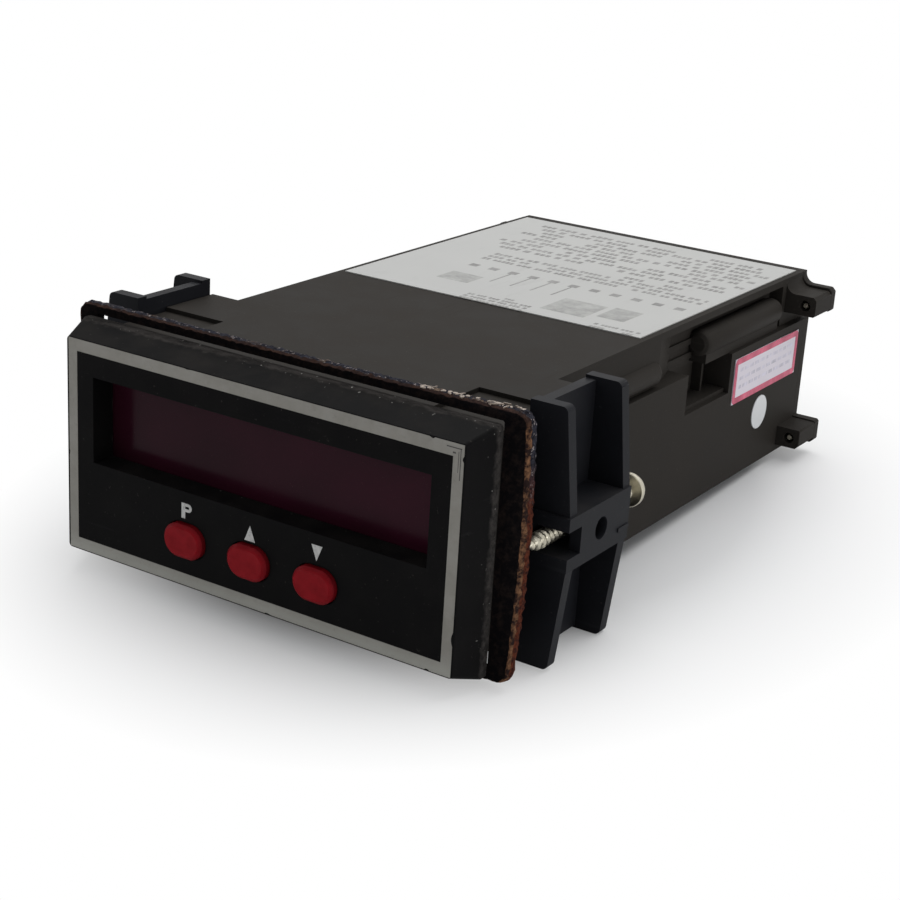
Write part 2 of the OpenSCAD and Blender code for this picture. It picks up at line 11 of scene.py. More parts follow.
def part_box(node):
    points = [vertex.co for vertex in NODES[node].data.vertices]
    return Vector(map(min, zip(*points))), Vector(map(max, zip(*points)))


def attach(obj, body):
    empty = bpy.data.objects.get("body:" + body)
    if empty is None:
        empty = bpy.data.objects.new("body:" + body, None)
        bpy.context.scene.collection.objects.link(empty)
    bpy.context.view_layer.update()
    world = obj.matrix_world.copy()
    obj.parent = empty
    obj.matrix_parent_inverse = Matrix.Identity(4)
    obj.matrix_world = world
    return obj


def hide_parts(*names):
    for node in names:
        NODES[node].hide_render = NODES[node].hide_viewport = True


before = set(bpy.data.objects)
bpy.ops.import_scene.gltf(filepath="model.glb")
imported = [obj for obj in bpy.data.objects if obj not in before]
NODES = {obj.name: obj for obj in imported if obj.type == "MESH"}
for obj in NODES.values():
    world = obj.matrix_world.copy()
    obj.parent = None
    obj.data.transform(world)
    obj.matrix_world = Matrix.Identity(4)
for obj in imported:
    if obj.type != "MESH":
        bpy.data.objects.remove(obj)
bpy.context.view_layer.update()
MM = 0.001

# ---------------------------------------------------------------- camera and light

CAMERA_AT = (0.20071, -0.2584, 0.12611)
CAMERA_TURN = (70.283, -3.317, 33.463)
LENS = 74.624
FLOOR_AT = (0.0342, -0.0253)
FLOOR_SLOPE = 3.3 / 117.8
SHADOW_MIDDLE = 0.078
SHADOW_REACH = (0.11, 0.145)
# name: place, target, size, watts
LAMPS = {
    "top_light": ((0.0, 0.32, 0.65), (0.0, 0.07, 0.0), (0.9, 0.7), 4.6),
    "right_light": ((0.80, 0.12, 0.10), (0.03, 0.07, 0.0), (0.6, 0.3), 1.9),
    "front_light": ((-0.25, -0.8, 0.35), (0.0, 0.0, 0.0), (0.6, 0.5), 0.8),
}


def add_camera():
    data = bpy.data.cameras.new("camera")
    data.lens = LENS
    data.sensor_width = 36
    data.clip_start = 0.01
    camera = bpy.data.objects.new("camera", data)
    camera.location = CAMERA_AT
    camera.rotation_euler = Euler([math.radians(a) for a in CAMERA_TURN])
    bpy.context.collection.objects.link(camera)
    bpy.context.scene.camera = camera


def add_lamp(name, at, target, size, watts):
    data = bpy.data.lights.new(name, "AREA")
    data.shape = "RECTANGLE"
    data.size, data.size_y = size
    data.energy = watts
    lamp = bpy.data.objects.new(name, data)
    lamp.location = at
    lamp.rotation_euler = (Vector(target) - Vector(at)).to_track_quat("-Z", "Y").to_euler()
    bpy.context.collection.objects.link(lamp)


# ---------------------------------------------------------------- material helper


class Tree:
    """A material, or a given world, being built node by node."""

    def __init__(self, name, world=None):
        self.mat = world or bpy.data.materials.new(name)
        self.mat.use_nodes = True
        self.nt = self.mat.node_tree
        self.nt.nodes.clear()
        self.coord = None

    def node(self, kind, sockets=None, **props):
        n = self.nt.nodes.new("ShaderNode" + kind)
        for key, value in props.items():
            setattr(n, key, value)
        for key, value in (sockets or {}).items():
            self.put(n.inputs[key], value)
        return n

    def put(self, socket, value):
        if isinstance(value, bpy.types.NodeSocket):
            self.nt.links.new(value, socket)
        elif isinstance(value, (tuple, list)) and len(value) == 3 and socket.type == "RGBA":
            socket.default_value = (*value, 1)
        else:
            socket.default_value = value

    def at(self):
        if self.coord is None:
            self.coord = self.node("TexCoord").outputs["Object"]
        return self.coord

    def axes(self):
        return self.node("SeparateXYZ", {0: self.at()}).outputs

    def math(self, op, a, b=0.0, clamp=False):
        n = self.node("Math", operation=op, use_clamp=clamp)
        self.put(n.inputs[0], a)
        self.put(n.inputs[1], b)
        return n.outputs[0]

    def noise(self, size, detail=3.0, rough=0.55, stretch=None, dist=0.0):
        """Noise with features about size millimetres across."""
        vec = self.at()
        if stretch:
            vec = self.node("Mapping", {"Vector": vec, "Scale": stretch}).outputs[0]
        n = self.node("TexNoise", {"Vector": vec, "Scale": 1000 / size, "Detail": detail,
                                   "Roughness": rough, "Distortion": dist})
        return n.outputs["Fac"]

    def map(self, value, low, high, to_low=0.0, to_high=1.0):
        n = self.node("MapRange", {0: value, 1: low, 2: high, 3: to_low, 4: to_high})
        n.clamp = True
        return n.outputs[0]

    def mix(self, fac, a, b):
        n = self.node("Mix", data_type="RGBA")
        self.put(n.inputs[0], fac)
        self.put(n.inputs[6], a)
        self.put(n.inputs[7], b)
        return n.outputs[2]

    def bump(self, height, mm, normal=None):
        n = self.node("Bump", {"Strength": 1.0, "Distance": mm * MM, "Height": height})
        if normal is not None:
            self.put(n.inputs["Normal"], normal)
        return n.outputs[0]

    def finish(self, **sockets):
        p = self.node("BsdfPrincipled")
        for key, value in sockets.items():
            self.put(p.inputs[key.replace("_", " ")], value)
        out = self.node("OutputMaterial")
        self.nt.links.new(p.outputs[0], out.inputs[0])
        return self.mat


def up_facing(t):
    """1 where the surface faces up, 0 on the sides."""
    normal = t.node("NewGeometry").outputs["Normal"]
    z = t.node("SeparateXYZ", {0: normal}).outputs[2]
    return t.map(z, 0.4, 0.9)


def moulded_tree(name, colour, rough=0.5, grain=0.35, grain_mm=0.012, dust=0.06,
                 dust_colour=(0.20, 0.18, 0.16), scratches=0.3):
    """The parts of moulded plastic: fine spark-eroded grain, flow marks, specks and fine scratches."""
    t = Tree(name)
    flow = t.noise(28, 2.0, 0.5)
    cloud = t.noise(9, 4.0, 0.6)
    specks = t.map(t.noise(0.7, 2.0, 0.5), 0.70, 0.76)
    upward = t.math("ADD", t.math("MULTIPLY", up_facing(t), 0.8), 0.2)
    dusty = t.math("MULTIPLY", t.map(cloud, 0.42, 0.75), upward)
    along = t.map(t.noise(1.2, 1.0, 0.4, stretch=(1.0, 0.03, 1.0)), 0.70, 0.76)
    across = t.map(t.noise(1.0, 1.0, 0.4, stretch=(0.04, 1.0, 0.6)), 0.72, 0.78)
    worn = t.map(t.noise(16, 2.0), 0.48, 0.62)
    lines = t.math("MULTIPLY", t.math("MAXIMUM", along, across), worn)
    base = t.mix(t.map(flow, 0.3, 0.7), tuple(c * 0.86 for c in colour), tuple(c * 1.12 for c in colour))
    base = t.mix(t.math("MULTIPLY", dusty, dust), base, dust_colour)
    base = t.mix(t.math("MULTIPLY", specks, dust), base, tuple(c * 1.6 for c in dust_colour))
    base = t.mix(t.math("MULTIPLY", lines, scratches * 0.3), base, tuple(c * 3 + 0.03 for c in colour))
    r = t.math("ADD", t.map(flow, 0.3, 0.7, rough - 0.04, rough + 0.05), t.math("MULTIPLY", dusty, 0.15))
    r = t.math("ADD", r, t.math("MULTIPLY", lines, 0.12))
    n = t.bump(t.noise(grain, 2.0, 0.6), grain_mm)
    n = t.bump(t.math("MULTIPLY", lines, -1.0), 0.01 * scratches, n)
    return t, base, r, t.bump(flow, 0.05, n)


def moulded(name, colour, spec=0.12, **wear):
    t, base, r, n = moulded_tree(name, colour, **wear)
    return t.finish(Base_Color=base, Roughness=r, Normal=n, Specular_IOR_Level=spec)


def bezel_plastic():
    """Black frame with a grey band along the rear edge of its sides, part adhesive residue and part painted
    highlight of the land, and a few nicks.
    """
    t, base, r, n = moulded_tree("bezel_plastic", (0.0062, 0.0060, 0.0062), rough=0.45, grain=0.3)
    x, y, _ = t.axes()
    edge = t.math("ADD", -0.0022, t.math("MULTIPLY", t.map(x, 0.02, -0.03), -0.0006))
    edge = t.math("ADD", edge, t.map(t.noise(2.4, 3.0, 0.6), 0.3, 0.7, -0.0004, 0.0005))
    # grey band at the rear edge: adhesive residue, wider on the left, and a painted highlight where the land
    # catches light
    band = t.map(t.math("SUBTRACT", y, edge), 0.0, 0.0007)
    patchy = t.map(t.noise(1.3, 4.0, 0.7, stretch=(0.4, 1.0, 1.0)), 0.36, 0.62, 0.15, 0.60)
    base = t.mix(t.math("MULTIPLY", band, patchy), base, (0.075, 0.068, 0.064))
    nicks = t.math("MULTIPLY", t.map(t.noise(0.9, 2.0, 0.5), 0.71, 0.74), t.map(y, -0.0040, -0.0015))
    base = t.mix(nicks, base, (0.30, 0.29, 0.27))
    r = t.math("ADD", r, t.math("MULTIPLY", band, 0.2))
    return t.finish(Base_Color=base, Roughness=r, Normal=n, Specular_IOR_Level=0.02)


def red_window():
    """Dark red polished acrylic with faint wiping marks and dust in its corners."""
    t = Tree("window")
    smear = t.noise(14, 3.0, 0.6, stretch=(0.35, 1.0, 1.0))
    dust = t.map(t.noise(0.35, 2.0, 0.5), 0.70, 0.78)
    base = t.mix(t.map(t.noise(22, 1.0), 0.35, 0.65), (0.022, 0.0040, 0.0090), (0.034, 0.0050, 0.0130))
    base = t.mix(t.math("MULTIPLY", dust, 0.12), base, (0.20, 0.12, 0.12))
    r = t.map(smear, 0.3, 0.7, 0.12, 0.28)
    return t.finish(Base_Color=base, Roughness=r, Normal=t.bump(smear, 0.01), Specular_IOR_Level=0.06)


def button_red():
    """Crimson rubber, a little rubbed on the front, with painted shade darkening its sides towards the bezel.
    """
    t = Tree("button")
    worn = t.map(t.noise(2.2, 3.0, 0.6), 0.4, 0.7)
    _, y, _ = t.axes()
    # painted shade: the button's sides darken towards the bezel hole
    side = t.map(y, -0.0094, -0.0086)
    base = t.mix(worn, (0.26, 0.0045, 0.0100), (0.205, 0.0040, 0.0080))
    base = t.mix(t.math("MULTIPLY", side, 0.6), base, (0.08, 0.002, 0.005))
    r = t.map(worn, 0.0, 1.0, 0.38, 0.55)
    return t.finish(Base_Color=base, Roughness=r, Normal=t.bump(t.noise(0.5, 2.0), 0.015),
                    Specular_IOR_Level=0.08)


def silver_paint():
    """Warm grey printed frame, rubbed and a little dirty, with painted light making it paler along the
    bottom.
    """
    t = Tree("silver_border")
    rub = t.noise(5, 4.0, 0.65)
    _, _, z = t.axes()
    dirt = t.map(t.noise(1.6, 4.0, 0.7), 0.58, 0.78)
    base = t.mix(t.map(rub, 0.35, 0.7), (0.235, 0.225, 0.200), (0.285, 0.275, 0.250))
    # painted light: the bottom strip of the frame is made paler
    base = t.mix(t.map(z, -0.018, -0.021, 0.0, 0.55), base, (0.42, 0.42, 0.38))
    base = t.mix(t.math("MULTIPLY", dirt, 0.35), base, (0.10, 0.09, 0.075))
    r = t.map(rub, 0.3, 0.7, 0.40, 0.55)
    return t.finish(Base_Color=base, Roughness=r, Metallic=0.15, Normal=t.bump(t.noise(0.4, 2.0), 0.006),
                    Specular_IOR_Level=0.2)


def gasket_face():
    """Black foam rubber, hard and cracked."""
    t = Tree("gasket_face")
    crack = t.noise(1.4, 4.0, 0.7)
    base = t.mix(t.map(crack, 0.45, 0.7), (0.0035, 0.0030, 0.0035), (0.013, 0.009, 0.008))
    return t.finish(Base_Color=base, Roughness=0.85, Normal=t.bump(crack, 0.25), Specular_IOR_Level=0.02)


def gasket_edge():
    """The tan skin left along the gasket's front edge."""
    t = Tree("gasket_edge")
    x, _, z = t.axes()
    gaps = t.map(t.noise(1.6, 4.0, 0.7), 0.34, 0.56)
    skin = t.mix(t.map(z, 0.0235, 0.0250), (0.21, 0.105, 0.055), (0.055, 0.030, 0.022))
    skin = t.mix(t.map(x, 0.030, 0.040, 1.0, 0.0), skin, (0.040, 0.020, 0.014))
    base = t.mix(gaps, skin, (0.018, 0.010, 0.009))
    return t.finish(Base_Color=base, Roughness=0.8, Normal=t.bump(t.noise(0.5, 3.0), 0.15),
                    Specular_IOR_Level=0.05)


def gasket_crust():
    """Pitted outer band: red-brown below, blue-grey with pale flakes towards the top."""
    t = Tree("gasket_crust")
    x, _, z = t.axes()
    high = t.map(z, 0.009, 0.017)
    top = t.map(z, 0.0245, 0.0252)
    pits = t.noise(0.9, 5.0, 0.75)
    blotch = t.noise(3.2, 4.0, 0.7)
    low = t.mix(t.map(pits, 0.42, 0.62), (0.105, 0.028, 0.014), (0.016, 0.007, 0.007))
    up = t.mix(t.map(pits, 0.42, 0.62), (0.030, 0.030, 0.040), (0.006, 0.005, 0.007))
    base = t.mix(high, low, up)
    tan = t.math("MULTIPLY", t.map(blotch, 0.54, 0.62), t.map(x, 0.0, 0.035, 0.2, 0.8))
    base = t.mix(t.math("MULTIPLY", tan, top), base, (0.22, 0.155, 0.105))
    flakes = t.math("MULTIPLY", t.map(t.noise(0.8, 3.0, 0.6), 0.60, 0.66), t.math("MAXIMUM", high, top))
    base = t.mix(flakes, base, (0.33, 0.29, 0.28))
    return t.finish(Base_Color=base, Roughness=0.85, Normal=t.bump(pits, 0.35), Specular_IOR_Level=0.05)


def white_ink():
    """Off-white print of the legends."""
    t = Tree("white_ink")
    base = t.mix(t.map(t.noise(0.6, 3.0), 0.45, 0.7), (0.58, 0.58, 0.56), (0.42, 0.42, 0.41))
    return t.finish(Base_Color=base, Roughness=0.55, Normal=t.bump(t.noise(0.2), 0.004))


def scratch_dark():
    """Dark plastic bared by a scratch."""
    t = Tree("bare_scratch")
    base = t.mix(t.noise(0.4), (0.02, 0.02, 0.02), (0.06, 0.055, 0.05))
    return t.finish(Base_Color=base, Roughness=0.6)


def label_film(name, colour, dirt=0.3, rough=0.42):
    """Label film: slightly yellowed, scuffed, with faint waviness."""
    t = Tree(name)
    tone = t.noise(26, 3.0, 0.6)
    scuff = t.map(t.noise(3.0, 4.0, 0.7, stretch=(1.0, 0.25, 1.0)), 0.58, 0.80)
    aged, clean = tuple(c * 0.93 for c in colour), tuple(min(1, c * 1.04) for c in colour)
    base = t.mix(t.map(tone, 0.3, 0.7), aged, clean)
    base = t.mix(t.math("MULTIPLY", scuff, dirt), base, tuple(c * 0.62 for c in colour))
    r = t.map(tone, 0.3, 0.7, rough - 0.06, rough + 0.08)
    n = t.bump(t.noise(11, 2.0), 0.04)
    return t.finish(Base_Color=base, Roughness=r, Normal=t.bump(t.noise(0.25), 0.004, n))


def print_ink(name, colour):
    """Faded print."""
    t = Tree(name)
    fade = t.map(t.noise(4.0, 4.0, 0.7), 0.35, 0.75)
    base = t.mix(fade, colour, tuple(min(1, c * 1.7 + 0.05) for c in colour))
    return t.finish(Base_Color=base, Roughness=0.5)


def plated(name, colour, rough=0.28, rust=0.3):
    """Zinc plated steel with dulled patches and a few rust blooms."""
    t = Tree(name)
    patch = t.noise(1.8, 4.0, 0.65)
    bloom = t.map(t.noise(1.1, 4.0, 0.7), 0.62, 0.76)
    base = t.mix(t.map(patch, 0.35, 0.7), colour, tuple(c * 0.72 for c in colour))
    base = t.mix(t.math("MULTIPLY", bloom, rust), base, (0.16, 0.09, 0.04))
    r = t.math("ADD", t.map(patch, 0.3, 0.7, rough, rough + 0.2), t.math("MULTIPLY", bloom, 0.25))
    metal = t.map(bloom, 0.0, 1.0, 1.0, 0.5)
    return t.finish(Base_Color=base, Roughness=r, Metallic=metal, Normal=t.bump(t.noise(0.3), 0.008))


def circuit():
    """Green circuit board with tinned pads and tracks under varnish."""
    t = Tree("circuit_board")
    v = t.node("TexVoronoi", {"Vector": t.at(), "Scale": 1000 / 2.54}, feature="DISTANCE_TO_EDGE")
    track = t.map(v.outputs["Distance"], 0.05, 0.07, 1.0, 0.0)
    cells = t.node("TexVoronoi", {"Vector": t.at(), "Scale": 1000 / 2.54}, feature="F1")
    pad = t.map(cells.outputs["Distance"], 0.20, 0.23, 1.0, 0.0)
    base = t.mix(track, (0.015, 0.10, 0.045), (0.03, 0.19, 0.08))
    base = t.mix(pad, base, (0.55, 0.55, 0.52))
    return t.finish(Base_Color=base, Roughness=0.3, Normal=t.bump(track, 0.03), Coat_Weight=0.3)


def laminated():
    """Stacked steel laminations with varnish."""
    t = Tree("laminations")
    _, y, _ = t.axes()
    wave = t.math("SINE", t.math("MULTIPLY", y, 2 * math.pi / 0.0005))
    base = t.mix(t.map(wave, -1, 1), (0.10, 0.09, 0.08), (0.28, 0.27, 0.26))
    return t.finish(Base_Color=base, Roughness=0.4, Metallic=0.8, Normal=t.bump(wave, 0.05))


TAPE_WIDTH = 0.004
STRIPE_X = 0.0175


def taped():
    """Yellow winding tape in overlapping turns."""
    t = Tree("coil_tape")
    _, y, _ = t.axes()
    wave = t.math("FRACT", t.math("MULTIPLY", y, 1 / TAPE_WIDTH))
    base = t.mix(t.map(wave, 0.0, 1.0), (0.55, 0.36, 0.06), (0.66, 0.47, 0.12))
    return t.finish(Base_Color=base, Roughness=0.35, Normal=t.bump(wave, 0.06), Coat_Weight=0.2)


def sleeve():
    """Dark blue sleeve with the pale stripe of the minus side."""
    t = Tree("capacitor_sleeve")
    x, _, _ = t.axes()
    stripe = t.map(t.math("ABSOLUTE", t.math("SUBTRACT", x, STRIPE_X)), 0.0015, 0.0018, 1.0, 0.0)
    base = t.mix(stripe, (0.02, 0.03, 0.12), (0.30, 0.33, 0.40))
    return t.finish(Base_Color=base, Roughness=0.3, Normal=t.bump(t.noise(3.0), 0.03))


def brushed(name, colour):
    """Bare metal with fine drawn lines."""
    t = Tree(name)
    lines = t.noise(0.5, 3.0, 0.6, stretch=(1.0, 1.0, 0.05))
    base = t.mix(lines, tuple(c * 0.8 for c in colour), colour)
    return t.finish(Base_Color=base, Roughness=t.map(lines, 0.3, 0.7, 0.3, 0.5), Metallic=1.0,
                    Normal=t.bump(lines, 0.01))


def soften(node, radius, angle=35):
    """Rounds a CAD node's sharp edges a little, as a mould does."""
    o = NODES[node]
    weld = o.modifiers.new("weld", "WELD")
    weld.merge_threshold = 2e-6
    bevel = o.modifiers.new("edges", "BEVEL")
    bevel.width = radius * MM
    bevel.segments = 2
    bevel.limit_method = "ANGLE"
    bevel.angle_limit = math.radians(angle)
    bevel.harden_normals = False
    bevel.use_clamp_overlap = True


# ---------------------------------------------------------------- mesh helpers


def add_mesh(name, verts, faces, material, body, smooth=False):
    mesh = bpy.data.meshes.new(name)
    mesh.from_pydata(verts, [], faces)
    mesh.validate()
    mesh.materials.append(material)
    if smooth:
        mesh.polygons.foreach_set("use_smooth", [True] * len(mesh.polygons))
    o = bpy.data.objects.new(name, mesh)
    bpy.context.collection.objects.link(o)
    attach(o, body)
    return o


def slab(outline, origin, u, v, n, thick):
    """Vertices and faces of a flat closed prism: outline in (u, v), raised along n by thick."""
    low = [Vector(origin) + a * Vector(u) + b * Vector(v) for a, b in outline]
    high = [p + Vector(n) * thick for p in low]
    k = len(outline)
    faces = [tuple(range(k - 1, -1, -1)), tuple(range(k, 2 * k))]
    faces += [(i, (i + 1) % k, k + (i + 1) % k, k + i) for i in range(k)]
    return [p * MM for p in low + high], faces


def join_slabs(slabs):
    verts, faces = [], []
    for vs, fs in slabs:
        base = len(verts)
        verts += vs
        faces += [tuple(i + base for i in f) for f in fs]
    return verts, faces


def fix_normals(o):
    """Turns all faces outward."""
    bm = bmesh.new()
    bm.from_mesh(o.data)
    bmesh.ops.recalc_face_normals(bm, faces=bm.faces)
    bm.to_mesh(o.data)
    bm.free()


def rect(x0, x1, y0, y1):
    return [(x0, y0), (x1, y0), (x1, y1), (x0, y1)]


# ---------------------------------------------------------------- print on the front

FACE_Y = -8.0
FACE_W = 91.8 / 2
FACE_H = 43.8 / 2
BORDER = 2.6
BORDER_EDGE = 0.4
INK = 0.03
THIN_INK = 0.02


def edge_line(a, b, out, chips, step=0.4):
    """Points from a to b, dented inwards where the print is chipped."""
    a, b, out = Vector(a), Vector(b), Vector(out)
    count = int((b - a).length / step)
    points = []
    for i in range(count):
        s = (b - a).length * i / count
        dent = sum(depth * max(0.0, 1 - (2 * (s - at) / width) ** 2) for at, width, depth in chips)
        points.append(tuple(a + (b - a) * (i / count) - out * dent))
    return points


def add_border():
    """The printed silver frame on the front face, chipped at its outer edges."""
    w, h = FACE_W - BORDER_EDGE, FACE_H - BORDER_EDGE / 2
    a, b = w - BORDER + BORDER_EDGE, h - BORDER + BORDER_EDGE / 2
    sides = ((-1, 1), (1, 1), (1, -1), (-1, -1), (-1, 1))
    outward = ((0, 1), (1, 0), (0, -1), (-1, 0))
    chips = (((30, 1.2, 0.12), (84.5, 0.9, 0.3)), ((2.6, 1.2, 0.3), (36.0, 2.6, 0.35)),
             ((5, 1.2, 0.25), (41, 1.4, 0.2)), ((20, 1.0, 0.15),))
    outer, inner = [], []
    for (p, q, out, worn) in zip(sides, sides[1:], outward, chips):
        outer += edge_line((p[0] * w, p[1] * h), (q[0] * w, q[1] * h), out, worn)
        inner += edge_line((p[0] * a, p[1] * b), (q[0] * a, q[1] * b), out, ())
    bm = bmesh.new()
    back, front = [[[bm.verts.new((x * MM, y * MM, z * MM)) for x, z in ring] for ring in (outer, inner)]
                   for y in (FACE_Y, FACE_Y - INK)]

    def strip(p, q):
        """Faces between two closed rings with different point counts."""
        i = j = 0
        while i < len(p) or j < len(q):
            if j >= len(q) or (i < len(p) and i / len(p) <= j / len(q)):
                bm.faces.new([p[i % len(p)], p[(i + 1) % len(p)], q[j % len(q)]])
                i += 1
            else:
                bm.faces.new([p[i % len(p)], q[(j + 1) % len(q)], q[j % len(q)]])
                j += 1

    strip(*front)
    strip(*back)
    for low, high in zip(back, front):
        for i in range(len(low)):
            k = (i + 1) % len(low)
            bm.faces.new([low[i], low[k], high[k], high[i]])
    bmesh.ops.recalc_face_normals(bm, faces=bm.faces)
    mesh = bpy.data.meshes.new("silver_border")
    bm.to_mesh(mesh)
    bm.free()
    mesh.materials.append(silver_paint())
    o = bpy.data.objects.new("silver_border", mesh)
    bpy.context.collection.objects.link(o)
    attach(o, "meter")


def add_scratches():
    """Two thin dark scratches that meet at the border's upper right corner."""
    w, h = FACE_W - BORDER_EDGE, FACE_H - BORDER_EDGE / 2
    marks = (rect(w - 3.6, w - 0.5, h - 0.95, h - 0.75), rect(w - 0.75, w - 0.6, h - 6.5, h - 0.8),
             rect(w - 1.15, w - 1.05, h - 5.2, h - 1.4), rect(w - 2.3, w - 1.7, h - 1.9, h - 1.6))
    verts, faces = join_slabs([slab(o, (0, FACE_Y - INK, 0), (1, 0, 0), (0, 0, 1), (0, -1, 0), THIN_INK)
                               for o in marks])
    add_mesh("border_scratches", verts, faces, scratch_dark(), "meter")


def arc(cx, cy, r, a0, a1, n=12):
    return [(cx + r * math.cos(math.radians(a0 + (a1 - a0) * i / n)),
             cy + r * math.sin(math.radians(a0 + (a1 - a0) * i / n))) for i in range(n + 1)]


def add_legends():
    """The letter and the arrows above the buttons."""
    x, z, tall, wide, stem = -16.6, -8.0, 3.1, 2.5, 0.9
    bowl = 0.55 * tall / 2
    top, mid = z + tall, z + tall - 2 * bowl
    outlines = [rect(x, x + stem, z, top),
                [(x + stem, mid)] + arc(x + wide - bowl, mid + bowl, bowl, -90, 90) + [(x + stem, top)]
                + [(x + stem, top - 0.6)] + arc(x + wide - bowl, mid + bowl, bowl - 0.6, 90, -90)
                + [(x + stem, mid + 0.6)]]
    outlines.append([(-wide / 2, -8.3), (wide / 2, -8.3), (0, -8.3 + tall)])
    outlines.append([(15.5 - wide / 2, -4.8), (15.5, -4.8 - tall), (15.5 + wide / 2, -4.8)])
    verts, faces = join_slabs([slab(o, (0, FACE_Y, 0), (1, 0, 0), (0, 0, 1), (0, -1, 0), INK)
                               for o in outlines])
    add_mesh("legends", verts, faces, white_ink(), "meter")


# ---------------------------------------------------------------- gasket

HOLE_X = (-45.7, 48.1)
HOLE_Z = (-22.2, 24.6)
RIM_X = (-50.5, 52.5)
RIM_Z = (-24.5, 26.5)
GASKET_T = 2.0
SWELL = 0.7
# the curl's greatest height, its height at the top corner, and the height z where it is greatest
CURL, CURL_TOP, CURL_Z = 2.3, 1.0, 3


def ring(xs, zs, r, across=160, upright=76, turn=10):
    """Points round a rounded rectangle, the same count for any size: (x, z, outward x, outward z)."""
    centres = ((xs[1] - r, zs[0] + r), (xs[1] - r, zs[1] - r), (xs[0] + r, zs[1] - r), (xs[0] + r, zs[0] + r))
    points = []
    for k, (cx, cz) in enumerate(centres):
        for i in range(turn + 1):
            a = math.radians(-90 + 90 * k + 90 * i / turn)
            points.append((cx + r * math.cos(a), cz + r * math.sin(a), math.cos(a), math.sin(a)))
        x, z, nx, nz = points[-1]
        cx2, cz2 = centres[(k + 1) % 4]
        x2, z2 = cx2 + r * nx, cz2 + r * nz
        count = upright if k % 2 == 0 else across
        points += [(x + (x2 - x) * i / count, z + (z2 - z) * i / count, nx, nz) for i in range(1, count)]
    return points


def bow(x, z):
    """How far the rim has curled back: most in the middle of the right side, a little at the top right."""
    if x > RIM_X[1] - 8:
        if z < CURL_Z:
            rise = max(0.0, (z - RIM_Z[0]) / (CURL_Z - RIM_Z[0]))
            return CURL * math.sin(math.pi / 2 * rise) ** 1.3
        fall = math.cos(math.pi / 2 * (z - CURL_Z) / (RIM_Z[1] - CURL_Z))
        return CURL_TOP + (CURL - CURL_TOP) * max(0.0, fall) ** 1.2
    return max(0.0, CURL_TOP * (x - 22) / 22) if z > 0 else 0.0


def add_gasket():
    """The panel gasket: a flat ring whose outer band is swollen, pitted and curled back on the right."""
    outer, inner = ring(RIM_X, RIM_Z, 2.5), ring(HOLE_X, HOLE_Z, 0.4)
    widths = (0.0, 0.35, 0.6, 0.78, 0.9, 1.0)
    section = [(v, 0.0) for v in widths] + [(1.0, k) for k in (0.25, 0.5, 0.75)]
    section += [(v, 1.0) for v in reversed(widths)]
    face, edge, crust = range(3)
    kinds = [face] * 4 + [edge] * 2 + [crust] * 5 + [face] * 4
    verts, faces, looks = [], [], []
    for (ox, oz, nx, nz), (ix, iz, _, _) in zip(outer, inner):
        curl = bow(ox, oz)
        for v, k in section:
            x, z = ix + (ox - ix) * v, iz + (oz - iz) * v
            rough = noise.noise(Vector((x, z, 9 * k)) * 0.9) + 0.6 * noise.noise(Vector((x, z, 5 * k)) * 2.6)
            thick = GASKET_T + SWELL * v ** 3
            y = 0.06 + curl * v ** 1.6 + k * thick + (0.22 * rough * v * (1 if k else 0.3))
            push = (0.35 * math.sin(math.pi * k) - 0.35 + 0.28 * rough) * v ** 4
            verts.append(Vector((x + nx * push, max(y, 0.03), z + nz * push)) * MM)
    count, k = len(outer), len(section)
    for i in range(count):
        a, b = i * k, ((i + 1) % count) * k
        for j in range(k):
            j2 = (j + 1) % k
            faces.append((a + j, b + j, b + j2, a + j2))
            looks.append(kinds[j])
    o = add_mesh("gasket_skin", verts, faces, gasket_face(), "meter")
    o.data.materials.append(gasket_edge())
    o.data.materials.append(gasket_crust())
    o.data.polygons.foreach_set("material_index", looks)
    fix_normals(o)
    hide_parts("gasket")


def add_flakes():
    """Pale scabs and fibres of old sealant on the gasket's upper right edge."""
    rng = random.Random(23)
    slabs = []
    for _ in range(34):
        x = rng.uniform(30, 50)
        y = rng.uniform(0.5, 2.2) + bow(x, 20) * 0.8
        turn = rng.uniform(0, math.pi)
        size = rng.uniform(0.25, 0.7)
        long = rng.choice((1.0, 1.3, 2.6))
        outline = []
        for i in range(6):
            a = 2 * math.pi * i / 6
            r = size * rng.uniform(0.6, 1.0)
            u, v = r * long * math.cos(a), r * math.sin(a) / long
            outline.append((x + u * math.cos(turn) - v * math.sin(turn),
                            y + u * math.sin(turn) + v * math.cos(turn)))
        z = RIM_Z[1] - 0.25 + rng.uniform(0.0, 0.15)
        slabs.append(slab(outline, (0, 0, z), (1, 0, 0), (0, 1, 0), (0, 0, 1), rng.uniform(0.12, 0.3)))
    verts, faces = join_slabs(slabs)
    sealant = print_ink("dry_sealant", (0.24, 0.19, 0.15))
    add_mesh("gasket_flakes", verts, faces, sealant, "meter")


# ---------------------------------------------------------------- clip screws

CREST_R = 1.75
THREAD_PITCH = 1.4
THREAD_DEPTH = 0.42
THREAD_STEP = 0.14
RIDGE = 0.28
SCREW_TIP = 4.2
TIP_SHARE = 0.22
HEAD_D = 7.0
HEAD_H = 2.6
SHOULDER = 1.7
DOME = 0.75
# half width, reach and depth of the cross recess
CROSS = (0.55, 1.9, 1.5)
TURN = 32


